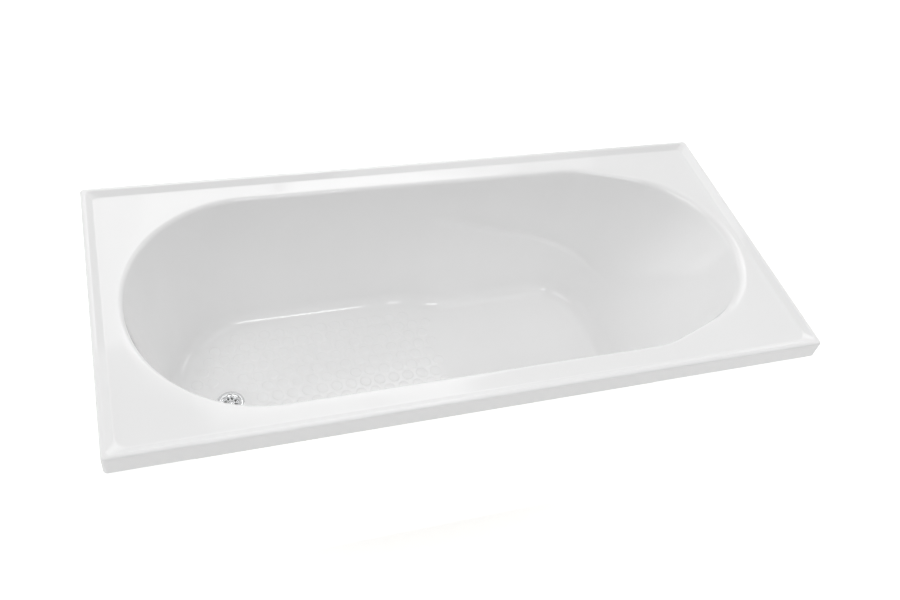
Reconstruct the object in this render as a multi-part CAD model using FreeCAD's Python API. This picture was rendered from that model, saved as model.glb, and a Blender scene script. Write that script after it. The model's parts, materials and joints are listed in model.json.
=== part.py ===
import FreeCAD, Part
import math
import os

# Inset acrylic bathtub on a levelling leg set.
# Frame: origin on the floor under the middle of the rim, +X to the head end (backrest),
# +Y to the back (wall) side, +Z up. Millimetres.

os.makedirs("parts", exist_ok=True)
V = FreeCAD.Vector

# ---------------------------------------------------------------- driving dimensions
LENGTH = 1650.0            # outer rim length
WIDTH = 760.0              # outer rim width
HEIGHT = 540.0             # floor to top of rim, feet fully screwed out
SKIRT = 48.0               # downturned edge of the rim
T_ACRYLIC = 4.0
T_BACKING = 3.0
LIP_DROP = 9.0             # deck below the raised outer lip
LIP_TOP = 14.0             # outer edge to the top of the lip's inner slope
LIP_BASE = 26.0            # outer edge to the foot of the lip's inner slope
R_OUTER = 9.0              # outer vertical corners of the rim
R_DECK = 20.0              # inner corners of the recessed deck
DECK = HEIGHT - LIP_DROP

# bowl: virtual sharp outlines at deck level (T) and at floor level (B), later filleted
T_HALF = 305.0             # half width of the opening
T_X0, T_X1 = -460.0, 400.0  # straight sides of the opening
T_LEFT, T_RIGHT = 299.0, 371.0   # how far the two rounded ends reach beyond them
B_HALF = 262.0
B_X0, B_X1 = -460.0, 360.0
B_LEFT, B_RIGHT = 216.0, 145.0
B_POWER = 3.2              # squareness of the floor's head end
DEPTH = 420.0              # rim top to floor at the waste
FALL = 8.0 / 1040.0        # floor falls to the waste
R_EDGE = 12.0              # roll of the opening's edge
R_HEAD = 35.0              # broad roll of the headrest
R_FLOOR = 40.0             # fillet between walls and floor
R_FOOT = 58.0              # fillet at the foot of the backrest
ARM_IN = 30.0              # how far the armrest walls stand in at the floor
ARM_CUT = 5.0              # extra recess just above the armrest's crease

# waste
WASTE_X = -535.0
FLOOR_Z = HEIGHT - DEPTH   # floor at the waste
DISH_R, DISH_FLAT_R, DISH_DEEP = 52.0, 40.0, 4.0
HOLE_R = 27.0
FLANGE_R, THROAT_R = 35.0, 20.5
TAIL_R, TAIL_LEN = 23.9, 30.0   # thread of an inch and a half

# base board and leg set
BOARD_X0, BOARD_X1, BOARD_HALF, BOARD_T = -465.0, 445.0, 185.0, 15.0
BOARD_TOP = 112.5
RAIL_X = (-380.0, 360.0)
RAIL_HALF, RAIL_W, RAIL_H, RAIL_T = 325.0, 40.0, 25.0, 2.0
FOOT_Y = 300.0
ROD_R, NUT_BORE_R, ROD_TOP = 5.93, 6.0, 118.0
PAD_R, PAD_H, SOCKET_R, SOCKET_Z = 27.0, 28.0, 6.0, 8.0
FOOT_TRAVEL = 30.0         # the feet screw in by this much
BATTEN_W, BATTEN_H = 30.0, 18.0


# ---------------------------------------------------------------- small helpers
def clamp01(t):
    return 0.0 if t < 0 else 1.0 if t > 1 else t


def smooth(a, b, x):
    t = clamp01((x - a) / (b - a))
    return t * t * (3 - 2 * t)


def box(x0, y0, z0, x1, y1, z1):
    return Part.makeBox(x1 - x0, y1 - y0, z1 - z0, V(x0, y0, z0))


def cyl(r, z0, z1, x=0.0, y=0.0):
    return Part.makeCylinder(r, z1 - z0, V(x, y, z0))


def cone(r0, r1, z0, z1, x=0.0, y=0.0):
    return Part.makeCone(r0, r1, z1 - z0, V(x, y, z0))


def rounded_rect(hx, hy, r, z, cx=0.0, cy=0.0):
    """Closed wire, a rectangle with round corners in the plane z."""
    edges = []
    pts = [
        (hx - r, -hy, hx, -hy + r, hx - r, -hy + r, -90),
        (hx, hy - r, hx - r, hy, hx - r, hy - r, 0),
        (-hx + r, hy, -hx, hy - r, -hx + r, hy - r, 90),
        (-hx, -hy + r, -hx + r, -hy, -hx + r, -hy + r, 180),
    ]
    last = (-hx + r, -hy)
    for x0, y0, x1, y1, ax, ay, a in pts:
        edges.append(Part.makeLine(V(cx + last[0], cy + last[1], z), V(cx + x0, cy + y0, z)))
        m = math.radians(a + 45)
        edges.append(
            Part.Arc(
                V(cx + x0, cy + y0, z),
                V(cx + ax + r * math.cos(m), cy + ay + r * math.sin(m), z),
                V(cx + x1, cy + y1, z),
            ).toShape()
        )
        last = (x1, y1)
    return Part.Wire(edges)


def rounded_prism(hx, hy, r, z0, z1, cx=0.0, cy=0.0):
    return Part.Face(rounded_rect(hx, hy, r, z0, cx, cy)).extrude(V(0, 0, z1 - z0))


def hexagon(across_flats, z0, z1, x=0.0, y=0.0):
    r = across_flats / math.sqrt(3)
    pts = [V(x + r * math.cos(math.radians(60 * i)), y + r * math.sin(math.radians(60 * i)), z0) for i in range(7)]
    return Part.Face(Part.makePolygon(pts)).extrude(V(0, 0, z1 - z0))


def turned(profile, x=0.0, y=0.0):
    """Solid of revolution about the vertical through (x, y) from (r, z) points."""
    pts = [V(x + r, y, z) for r, z in profile]
    face = Part.Face(Part.makePolygon(pts + [pts[0]]))
    return face.revolve(V(x, y, 0), V(0, 0, 1), 360)


def one(shape):
    """The same shape without the seams left by joining it."""
    try:
        clean = shape.removeSplitter()
        if clean.isValid() and abs(clean.Volume - shape.Volume) < 1e-3 * abs(shape.Volume):
            return clean
    except Exception:
        pass
    return shape


def save(name, *solids):
    flat = []
    for s in solids:
        flat.extend(s.Solids)
    shape = flat[0] if len(flat) == 1 else Part.makeCompound(flat)
    for s in flat:
        if not s.isValid() or s.Volume <= 0:
            print("NOT VALID", name, s.isValid(), s.Volume)
    shape.exportStep("parts/%s.step" % name)
    b = shape.BoundBox
    print(
        "%-22s solids %2d  volume %9.1f cm3  x %7.1f %7.1f  y %7.1f %7.1f  z %6.1f %6.1f"
        % (name, len(flat), sum(s.Volume for s in flat) / 1000, b.XMin, b.XMax, b.YMin, b.YMax, b.ZMin, b.ZMax)
    )


# ---------------------------------------------------------------- bowl surface
def stations():
    """Round the bowl, counterclockwise from the front: top point, bottom point, armrest share, headrest share."""
    out = []
    n = 22
    side = []
    for i in range(n):  # straight sides
        f = i / n
        bx = B_X0 + (B_X1 - B_X0) * f
        side.append((T_X0 + (T_X1 - T_X0) * f, bx, smooth(-60, 95, bx) * (1 - 0.2 * smooth(90, 300, bx))))
    for tx, bx, arm in side:
        out.append(((tx, -T_HALF), (bx, -B_HALF), arm, 0.0))
    n = 36
    for i in range(n):  # head end
        a = -90 + 180 * i / n
        c, s = math.cos(math.radians(a)), math.sin(math.radians(a))
        pull = 12 * math.exp(-(((c - 0.42) / 0.24) ** 2)) * smooth(0, 0.25, c) - 8 * smooth(0.5, 1, c)
        top = (T_X1 + T_RIGHT * c, (T_HALF - pull) * s)
        psi = math.atan2(B_HALF * s, B_RIGHT * c)
        r = (abs(math.cos(psi) / B_RIGHT) ** B_POWER + abs(math.sin(psi) / B_HALF) ** B_POWER) ** (-1 / B_POWER)
        out.append((top, (B_X1 + r * math.cos(psi), r * math.sin(psi)), 0.8 * smooth(8, 60, abs(a)), smooth(72, 22, abs(a))))
    tx, bx = T_X1, B_X1
    out.append(((tx, T_HALF), (bx, B_HALF), 0.8, 0.0))
    for tx, bx, arm in reversed(side):
        out.append(((tx, T_HALF), (bx, B_HALF), arm, 0.0))
    n = 28
    for i in range(1, n):  # waste end
        a = math.radians(90 + 180 * i / n)
        c, s = math.cos(a), math.sin(a)
        out.append(((T_X0 + T_LEFT * c, T_HALF * s), (B_X0 + B_LEFT * c, B_HALF * s), 0.0, 0.0))
    return out


def inward(points):
    """Unit normals of a closed counterclockwise outline, pointing in."""
    out = []
    count = len(points)
    for i in range(count):
        (ax, ay), (bx, by) = points[i - 1], points[(i + 1) % count]
        length = math.hypot(bx - ax, by - ay)
        out.append(V(-(by - ay) / length, (bx - ax) / length, 0))
    return out


def floor_z(x):
    return FLOOR_Z + FALL * (x - WASTE_X)


def arc(start, along, towards, r, turn, steps):
    """Points of an arc that leaves start in the direction along and turns towards."""
    side = towards - along * towards.dot(along)
    side.normalize()
    return [start + along * (r * math.sin(turn * k / steps)) + side * (r * (1 - math.cos(turn * k / steps))) for k in range(steps + 1)]


def bowl_grid():
    """Rows of points down the bowl's inner surface, each a closed ring. Row 0 is where the edge roll leaves the deck."""
    st = stations()
    normal_t = inward([s[0] for s in st])
    plain = inward([s[1] for s in st])
    pushed = [(s[1][0] + n.x * ARM_IN * s[2], s[1][1] + n.y * ARM_IN * s[2]) for s, n in zip(st, plain)]
    normal_b = inward(pushed)
    columns = []
    for (top, _, arm, head), low, nt, nb in zip(st, pushed, normal_t, normal_b):
        push = ARM_IN * arm
        t = V(top[0], top[1], DECK)
        b = V(low[0], low[1], floor_z(low[0]))
        deep = t.z - b.z
        wall = b - t
        wall.normalize()
        turn_t, turn_b = math.acos(nt.dot(wall)), math.acos(nb.dot(wall))
        r_t = R_EDGE + (R_HEAD - R_EDGE) * head
        r_b = R_FLOOR + (R_FOOT - R_FLOOR) * head
        t_t, t_b = r_t * math.tan(turn_t / 2), r_b * math.tan(turn_b / 2)
        roll = arc(t - nt * t_t, nt, wall, r_t, turn_t, 4)
        fillet = arc(b - wall * t_b, wall, nb, r_b, turn_b, 5)
        w0, w1 = t.z - roll[-1].z, t.z - fillet[0].z
        crease = min(max(111 + 0.33 * (t.x + (b.x - t.x) * 0.4 - 40), w0 + 45.0), 300.0)
        levels = [w0 + (crease - 30 - w0) * f for f in (0.35, 0.7, 1.0)] + [crease - 5, crease + 8, crease + 22]
        levels += [levels[-1] + (w1 - levels[-1]) * f for f in (0.33, 0.67)]
        straight = [t + wall * (w / -wall.z) for w in levels]
        column = []
        for p in roll + straight + fillet:
            w = t.z - p.z
            soft = 8.0 + 95.0 * smooth(455, 640, p.x)
            below = (math.hypot(w - crease, soft) + (w - crease)) / 2 / (deep - crease)
            shift = push * (min(below, 1.0) - w / deep) * smooth(0, 60, w) * smooth(0, 50, deep - w)
            cut = smooth(15, 175, p.x) * smooth(575, 430, p.x)
            shift -= ARM_CUT * cut * smooth(crease - 55, crease - 4, w) * smooth(crease + 12, crease - 2, w)
            column.append(p + nb * shift)
        last = column[-1]
        column[-1] = V(last.x, last.y, floor_z(last.x))
        columns.append(column)
    return [[c[k] for c in columns] for k in range(len(columns[0]))]


def offset_grid(grid, t):
    """The same rings, t further out into the material."""
    rows, count = len(grid), len(grid[0])
    out = []
    for k in range(rows):
        ring = []
        for i in range(count):
            n = V(0, 0, -1)
            if 0 < k < rows - 1:
                n = (grid[k][(i + 1) % count] - grid[k][i - 1]).cross(grid[k - 1][i] - grid[k + 1][i])
                n.normalize()
            ring.append(grid[k][i] + n * t)
        out.append(ring)
    return out


def open_top(grid, z):
    """Carry the roll a little past the plane it leaves, then straight up to z, so it crosses that plane cleanly."""
    lead = [a + (a - b) * 0.35 for a, b in zip(grid[0], grid[1])]
    return [[V(p.x, p.y, z) for p in lead], lead] + grid[1:]


def loft(rings):
    base = rings[len(rings) // 2]
    params, s = [0.0], 0.0
    for i in range(len(base)):
        s += (base[(i + 1) % len(base)] - base[i]).Length
        params.append(s)
    wires = []
    for ring in reversed(rings):
        curve = Part.BSplineCurve()
        curve.interpolate(Points=ring, PeriodicFlag=True, Parameters=params)
        wires.append(Part.Wire([curve.toShape()]))
    return Part.makeLoft(wires, True, True, False)


grid = bowl_grid()
cavity = loft(open_top(grid, DECK + 30.0))
acrylic_outer = loft(open_top(offset_grid(grid, T_ACRYLIC), DECK - 1.0))
backing_outer = loft(open_top(offset_grid(grid, T_ACRYLIC + T_BACKING), DECK - T_ACRYLIC - 0.5))

# ---------------------------------------------------------------- acrylic shell
hx, hy = LENGTH / 2, WIDTH / 2
rim = rounded_prism(hx, hy, R_OUTER, HEIGHT - SKIRT, HEIGHT)
rim = rim.makeFillet(4.0, [e for e in rim.Edges if e.BoundBox.ZMin > HEIGHT - 0.01])
recess = Part.makeLoft(
    [
        rounded_rect(hx - LIP_BASE, hy - LIP_BASE, R_DECK, DECK),
        rounded_rect(hx - LIP_TOP, hy - LIP_TOP, R_DECK + 8, HEIGHT),
    ],
    True,
    True,
)
recess = recess.fuse(rounded_prism(hx - LIP_TOP, hy - LIP_TOP, R_DECK + 8, HEIGHT, HEIGHT + 10))
under = rounded_prism(hx - T_ACRYLIC, hy - T_ACRYLIC, R_OUTER - T_ACRYLIC, HEIGHT - SKIRT - 5, DECK - T_ACRYLIC)
groove = rounded_prism(hx - T_ACRYLIC, hy - T_ACRYLIC, R_OUTER - T_ACRYLIC, DECK - T_ACRYLIC - 1, HEIGHT - T_ACRYLIC).cut(
    rounded_prism(hx - LIP_TOP + 1, hy - LIP_TOP + 1, R_DECK + 8, DECK - T_ACRYLIC - 2, HEIGHT)
)
shell_full = rim.cut(recess).cut(under).cut(groove)
shell_full = shell_full.fuse(acrylic_outer)
shell_full = shell_full.fuse(cyl(56, FLOOR_Z - DISH_DEEP - T_ACRYLIC, FLOOR_Z - 1, WASTE_X))
bath_shell = shell_full.cut(cavity)
bath_shell = bath_shell.cut(cone(DISH_FLAT_R, DISH_R, FLOOR_Z - DISH_DEEP, FLOOR_Z, WASTE_X))
bath_shell = bath_shell.cut(cyl(DISH_R, FLOOR_Z, FLOOR_Z + 6, WASTE_X))
bath_shell = bath_shell.cut(cyl(HOLE_R, FLOOR_Z - 30, FLOOR_Z + 10, WASTE_X))
save("bath_shell", bath_shell)

# ---------------------------------------------------------------- glassfibre backing
back = rounded_prism(hx - T_ACRYLIC, hy - T_ACRYLIC, R_OUTER - T_ACRYLIC, HEIGHT - SKIRT + 3, DECK - T_ACRYLIC)
back = back.cut(
    rounded_prism(
        hx - T_ACRYLIC - T_BACKING,
        hy - T_ACRYLIC - T_BACKING,
        R_OUTER - T_ACRYLIC - T_BACKING,
        HEIGHT - SKIRT - 5,
        DECK - T_ACRYLIC - T_BACKING,
    )
)
back = back.fuse(groove).fuse(backing_outer)
board_cx, board_hx = (BOARD_X0 + BOARD_X1) / 2, (BOARD_X1 - BOARD_X0) / 2
back = back.fuse(rounded_prism(board_hx + 12, BOARD_HALF + 12, 30, BOARD_TOP, BOARD_TOP + 8, board_cx))
BOSS_Z = FLOOR_Z - DISH_DEEP - T_ACRYLIC - T_BACKING
back = back.fuse(cyl(60, BOSS_Z, FLOOR_Z - 4, WASTE_X))
back = back.cut(shell_full)
back = back.cut(cyl(HOLE_R, BOSS_Z - 20, FLOOR_Z + 10, WASTE_X))
save("glassfibre_backing", back)

# ---------------------------------------------------------------- base board, battens
BOARD_Z = BOARD_TOP - BOARD_T
board = rounded_prism(board_hx, BOARD_HALF, 25, BOARD_Z, BOARD_TOP, board_cx)
screw_spots = [(x + dx, y) for x in RAIL_X for dx, y in ((-10, -150), (10, -60), (10, 60), (-10, 150))]
screws = []
for x, y in screw_spots:
    head_z = BOARD_Z - RAIL_T
    shank = cyl(2.4, head_z, BOARD_TOP - 4, x, y)
    head = turned([(0, head_z - 3.0), (2.6, head_z - 3.0), (4.2, head_z - 1.9), (4.7, head_z), (0, head_z)], x, y)
    drive = hexagon(3.0, head_z - 4, head_z - 1.4, x, y)
    screws.append(head.fuse(shank).cut(drive))
    board = board.cut(cyl(2.4, BOARD_Z - 1, BOARD_TOP - 4, x, y))
save("base_board", board)
save("rail_screws", *screws)

UNDER = DECK - T_ACRYLIC - T_BACKING
batten_y = hy - T_ACRYLIC - T_BACKING - 6 - BATTEN_W / 2
for name, sign in (("front_rim_batten", -1), ("back_rim_batten", 1)):
    y = sign * batten_y
    batten = box(-660, y - BATTEN_W / 2, UNDER - BATTEN_H, 620, y + BATTEN_W / 2, UNDER)
    batten = batten.makeChamfer(2.0, [e for e in batten.Edges if e.BoundBox.ZMax < UNDER - BATTEN_H + 0.01])
    save(name, batten)
end_x = -(hx - T_ACRYLIC - T_BACKING - 5)
end_batten = box(end_x, -230, UNDER - BATTEN_H, end_x + 20, 230, UNDER)
end_batten = end_batten.makeChamfer(2.0, [e for e in end_batten.Edges if e.BoundBox.ZMax < UNDER - BATTEN_H + 0.01])
save("waste_end_batten", end_batten)

# ---------------------------------------------------------------- leg set
for name, x in (("waste_end_rail", RAIL_X[0]), ("head_end_rail", RAIL_X[1])):
    rail = box(x - RAIL_W / 2, -RAIL_HALF, BOARD_Z - RAIL_H, x + RAIL_W / 2, RAIL_HALF, BOARD_Z)
    rail = rail.makeFillet(3.0, [e for e in rail.Edges if e.BoundBox.ZMin > BOARD_Z - 0.01 and e.Length > 100])
    inner = box(
        x - RAIL_W / 2 + RAIL_T, -RAIL_HALF - 5, BOARD_Z - RAIL_H - 5, x + RAIL_W / 2 - RAIL_T, RAIL_HALF + 5, BOARD_Z - RAIL_T
    )
    inner = inner.makeFillet(1.2, [e for e in inner.Edges if e.BoundBox.ZMin > BOARD_Z - RAIL_T - 0.01 and e.Length > 100])
    rail = rail.cut(inner)
    for sx, sy in screw_spots:
        if abs(sx - x) < 30:
            rail = rail.cut(cyl(2.8, BOARD_Z - 10, BOARD_Z + 5, sx, sy))
    for y in (-FOOT_Y, FOOT_Y):
        rail = rail.cut(cyl(7.0, BOARD_Z - 10, BOARD_Z + 5, x, y))
    save(name, rail)

corners = (
    ("waste_front", RAIL_X[0], -FOOT_Y),
    ("waste_back", RAIL_X[0], FOOT_Y),
    ("head_front", RAIL_X[1], -FOOT_Y),
    ("head_back", RAIL_X[1], FOOT_Y),
)


def nut(across, z0, z1, x, y):
    """Hexagon nut with chamfered corners on both faces."""
    body = hexagon(across, z0, z1, x, y)
    r = across / math.sqrt(3)
    c = r - across / 2
    h = c * 0.58
    trim = turned([(0, z0), (r - c, z0), (r + 0.01, z0 + h), (r + 0.01, z1 - h), (r - c, z1), (0, z1)], x, y)
    return body.common(trim).cut(cyl(NUT_BORE_R, z0 - 1, z1 + 1, x, y))


save("weld_nuts", *[nut(18, BOARD_Z, BOARD_Z + 10, x, y) for _, x, y in corners])
save("lock_nuts", *[nut(18, BOARD_Z - RAIL_T - 7, BOARD_Z - RAIL_T, x, y) for _, x, y in corners])

for name, x, y in corners:
    z0 = SOCKET_Z + 0.2
    rod = turned(
        [(0, z0), (ROD_R - 1.2, z0), (ROD_R, z0 + 1.2), (ROD_R, ROD_TOP - 1.2), (ROD_R - 1.2, ROD_TOP), (0, ROD_TOP)], x, y
    )
    collar = hexagon(17, PAD_H + 2, PAD_H + 10, x, y)
    r = 17 / math.sqrt(3)
    trim = turned(
        [
            (0, PAD_H + 2),
            (8.5, PAD_H + 2),
            (r + 0.01, PAD_H + 2.8),
            (r + 0.01, PAD_H + 9.2),
            (8.5, PAD_H + 10),
            (0, PAD_H + 10),
        ],
        x,
        y,
    )
    rod = rod.fuse(collar.common(trim))
    save("foot_rod_" + name, rod)
    pad = turned(
        [(0, 0), (PAD_R - 1.5, 0), (PAD_R, 1.5), (PAD_R, 4), (PAD_R - 1.5, 5.5), (13.5, 9), (12, 12), (12, PAD_H - 1.2), (10.8, PAD_H), (0, PAD_H)],
        x,
        y,
    )
    for i in range(6):
        rib = Part.Face(
            Part.makePolygon([V(8, -1.5, 4), V(24.5, -1.5, 4), V(24.5, -1.5, 6), V(13, -1.5, 21), V(8, -1.5, 21), V(8, -1.5, 4)])
        ).extrude(V(0, 3, 0))
        rib.rotate(V(0, 0, 0), V(0, 0, 1), 60 * i)
        rib.translate(V(x, y, 0))
        pad = pad.fuse(rib)
    pad = pad.cut(cyl(SOCKET_R, SOCKET_Z, PAD_H + 1, x, y))
    pad = pad.cut(cone(SOCKET_R, SOCKET_R + 1.0, PAD_H - 1.0, PAD_H, x, y))
    save("foot_pad_" + name, one(pad))

# ---------------------------------------------------------------- waste
dish_z = FLOOR_Z - DISH_DEEP
SEAL = 1.2
flange = turned(
    [
        (24.5, dish_z - 10),
        (24.5, dish_z + SEAL),
        (FLANGE_R - 0.8, dish_z + SEAL),
        (FLANGE_R, dish_z + SEAL + 0.6),
        (FLANGE_R - 1.2, dish_z + SEAL + 1.6),
        (FLANGE_R - 5.0, dish_z + SEAL + 2.9),
        (FLANGE_R - 9.0, dish_z + SEAL + 3.2),
        (THROAT_R + 2.2, dish_z + SEAL + 2.2),
        (THROAT_R, dish_z + SEAL + 0.4),
        (THROAT_R, dish_z - 10),
    ],
    WASTE_X,
)
GRATE_TOP = dish_z + SEAL - 1.0
grate = cyl(THROAT_R + 0.5, GRATE_TOP - 2.5, GRATE_TOP, WASTE_X)
for i in range(8):                               # long holes round the middle
    a = 45.0 * i + 22.5
    slot = rounded_prism(4.6, 2.6, 2.55, GRATE_TOP - 4, GRATE_TOP + 1, 13.2, 0)
    slot.rotate(V(0, 0, 0), V(0, 0, 1), a)
    slot.translate(V(WASTE_X, 0, 0))
    grate = grate.cut(slot)
flange = flange.fuse(grate)
flange = flange.cut(cyl(3.2, GRATE_TOP - 5, GRATE_TOP + 1, WASTE_X))
flange = flange.cut(cone(3.2, 6.0, GRATE_TOP - 2.0, GRATE_TOP + 0.8, WASTE_X))
save("waste_flange", one(flange))

TAIL_Z = 45.0
BODY_TOP = BOSS_Z - 3.5
screw = turned(
    [
        (0, 80),
        (2.3, 80),
        (2.9, 80.8),
        (2.9, GRATE_TOP - 2.2),
        (5.5, GRATE_TOP + 0.4),
        (4.6, GRATE_TOP + 0.9),
        (0, GRATE_TOP + 1.2),
    ],
    WASTE_X,
)
screw = screw.cut(box(WASTE_X - 4.0, -0.5, GRATE_TOP - 0.4, WASTE_X + 4.0, 0.5, GRATE_TOP + 2))
save("waste_screw", screw)
save(
    "waste_top_seal",
    turned([(HOLE_R, dish_z), (FLANGE_R - 1.5, dish_z), (FLANGE_R - 1.5, dish_z + SEAL), (HOLE_R, dish_z + SEAL)], WASTE_X),
)
save(
    "waste_bottom_seal",
    turned([(HOLE_R, BODY_TOP), (36.5, BODY_TOP), (36.5, BOSS_Z), (HOLE_R, BOSS_Z)], WASTE_X),
)
body = turned(
    [
        (26.2, BODY_TOP),
        (38.0, BODY_TOP),
        (38.0, BODY_TOP - 4.0),
        (31.0, BODY_TOP - 5.0),
        (29.5, BODY_TOP - 14.0),
        (TAIL_R + 1.6, TAIL_Z + TAIL_LEN + 3.0),
        (TAIL_R + 1.6, TAIL_Z + TAIL_LEN),
        (TAIL_R, TAIL_Z + TAIL_LEN),
        (TAIL_R, TAIL_Z + 1.0),
        (TAIL_R - 1.0, TAIL_Z),
        (TAIL_R - 3.4, TAIL_Z),
        (TAIL_R - 3.4, TAIL_Z + TAIL_LEN + 2.0),
        (26.2, BODY_TOP - 14.0),
    ],
    WASTE_X,
)
hub = cyl(6.5, 78, BODY_TOP - 6, WASTE_X)
for a in (0, 90):
    arm = box(-25.5, -1.5, 79, 25.5, 1.5, 88)
    arm.rotate(V(0, 0, 0), V(0, 0, 1), a)
    arm.translate(V(WASTE_X, 0, 0))
    hub = hub.fuse(arm)
body = body.fuse(hub)
for i in range(6):                               # stiffening ribs under the collar
    rib = Part.Face(
        Part.makePolygon(
            [
                V(27.5, -1.2, BODY_TOP - 3),
                V(36.0, -1.2, BODY_TOP - 3),
                V(36.0, -1.2, BODY_TOP - 6.5),
                V(29.8, -1.2, BODY_TOP - 18),
                V(27.5, -1.2, BODY_TOP - 18),
                V(27.5, -1.2, BODY_TOP - 3),
            ]
        )
    ).extrude(V(0, 2.4, 0))
    rib.rotate(V(0, 0, 0), V(0, 0, 1), 60 * i + 30)
    rib.translate(V(WASTE_X, 0, 0))
    body = body.fuse(rib)
body = body.cut(cyl(2.95, 79.0, BODY_TOP, WASTE_X))
save("waste_body", one(body))
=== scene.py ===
import json
import math

import bpy
import numpy as np
from mathutils import Matrix, Vector, noise
from mathutils.geometry import delaunay_2d_cdt


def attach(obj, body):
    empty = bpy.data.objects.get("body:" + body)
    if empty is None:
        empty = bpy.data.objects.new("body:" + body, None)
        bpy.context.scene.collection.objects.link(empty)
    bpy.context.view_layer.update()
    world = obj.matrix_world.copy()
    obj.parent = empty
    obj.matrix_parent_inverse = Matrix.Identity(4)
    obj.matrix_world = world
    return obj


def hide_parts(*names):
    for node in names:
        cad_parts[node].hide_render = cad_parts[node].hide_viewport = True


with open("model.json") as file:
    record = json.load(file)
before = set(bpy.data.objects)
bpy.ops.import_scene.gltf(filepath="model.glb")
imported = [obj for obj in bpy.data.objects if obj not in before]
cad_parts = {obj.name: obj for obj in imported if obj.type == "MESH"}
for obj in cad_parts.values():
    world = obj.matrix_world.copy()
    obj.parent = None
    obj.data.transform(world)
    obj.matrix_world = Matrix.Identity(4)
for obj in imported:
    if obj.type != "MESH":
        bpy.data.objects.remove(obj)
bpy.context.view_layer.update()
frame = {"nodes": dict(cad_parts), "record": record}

# ------------------------------------------------------------------ sizes, in millimetres
LENGTH, WIDTH, HEIGHT, SKIRT = 1650.0, 760.0, 540.0, 48.0
DECK = HEIGHT - 9.0
T_HALF, T_X0, T_X1, T_LEFT, T_RIGHT = 305.0, -460.0, 400.0, 299.0, 371.0
B_HALF, B_X0, B_X1, B_LEFT, B_RIGHT, B_POWER = 262.0, -460.0, 360.0, 216.0, 145.0, 3.2
R_EDGE, R_HEAD, R_FLOOR, R_FOOT = 12.0, 35.0, 40.0, 58.0
ARM_IN, ARM_CUT, ARM_LIP = 30.0, 5.5, 0.7
WASTE_X, FLOOR_Z, FALL = -535.0, 120.0, 8.0 / 1040.0
N = 640                                     # columns round the bowl


def smooth(a, b, x):
    t = np.clip((np.asarray(x, float) - a) / (b - a), 0, 1)
    return t * t * (3 - 2 * t)


def floor_z(x):
    return FLOOR_Z + FALL * (np.asarray(x) - WASTE_X)


# ------------------------------------------------------------------ the bowl's two outlines
def outlines():
    top, low, arm, head = [], [], [], []
    f = np.linspace(0, 1, 400, endpoint=False)
    bx = B_X0 + (B_X1 - B_X0) * f
    tx = T_X0 + (T_X1 - T_X0) * f
    arm_side = smooth(-60, 95, bx) * (1 - 0.2 * smooth(90, 300, bx))
    top += list(zip(tx, -T_HALF + 0 * tx))
    low += list(zip(bx, -B_HALF + 0 * bx))
    arm += list(arm_side)
    head += [0.0] * len(f)
    for a in np.linspace(-90, 90, 900, endpoint=False):
        c, s = math.cos(math.radians(a)), math.sin(math.radians(a))
        pull = 12 * math.exp(-(((c - 0.42) / 0.24) ** 2)) * float(smooth(0, 0.25, c)) - 8 * float(smooth(0.5, 1, c))
        top.append((T_X1 + T_RIGHT * c, (T_HALF - pull) * s))
        psi = math.atan2(B_HALF * s, B_RIGHT * c)
        r = (abs(math.cos(psi) / B_RIGHT) ** B_POWER + abs(math.sin(psi) / B_HALF) ** B_POWER) ** (-1 / B_POWER)
        low.append((B_X1 + r * math.cos(psi), r * math.sin(psi)))
        arm.append(0.8 * float(smooth(8, 60, abs(a))))
        head.append(float(smooth(72, 22, abs(a))))
    g = 1 - f
    bx = B_X0 + (B_X1 - B_X0) * g
    tx = T_X0 + (T_X1 - T_X0) * g
    top += list(zip(tx, T_HALF + 0 * tx))
    low += list(zip(bx, B_HALF + 0 * bx))
    arm += list(smooth(-60, 95, bx) * (1 - 0.2 * smooth(90, 300, bx)))
    head += [0.0] * len(g)
    for a in np.radians(np.linspace(90, 270, 600, endpoint=False)):
        c, s = math.cos(a), math.sin(a)
        top.append((T_X0 + T_LEFT * c, T_HALF * s))
        low.append((B_X0 + B_LEFT * c, B_HALF * s))
        arm.append(0.0)
        head.append(0.0)
    top, low = np.array(top), np.array(low)
    mid = (top + low) / 2
    step = np.linalg.norm(np.roll(mid, -1, 0) - mid, axis=1)
    s = np.concatenate([[0], np.cumsum(step)])
    want = np.arange(N) / N * s[-1]

    def at(values):
        return np.interp(want, s, np.concatenate([values, values[:1]]))

    return (
        np.stack([at(top[:, 0]), at(top[:, 1])], 1),
        np.stack([at(low[:, 0]), at(low[:, 1])], 1),
        at(np.array(arm)),
        at(np.array(head)),
    )


def inward(p):
    d = np.roll(p, -1, 0) - np.roll(p, 1, 0)
    for _ in range(3):                      # evens out the joins between the outline's parts
        d = (np.roll(d, -1, 0) + 2 * d + np.roll(d, 1, 0)) / 4
    n = np.stack([-d[:, 1], d[:, 0]], 1)
    n /= np.linalg.norm(n, axis=1)[:, None]
    return np.concatenate([n, np.zeros((len(n), 1))], 1)


def unit(v):
    return v / np.linalg.norm(v, axis=-1, keepdims=True)


def arc(start, along, towards, r, turn, steps):
    side = unit(towards - along * np.sum(along * towards, 1)[:, None])
    out = []
    for k in range(steps + 1):
        a = turn * k / steps
        out.append(start + along * (r * np.sin(a))[:, None] + side * (r * (1 - np.cos(a)))[:, None])
    return out


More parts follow.
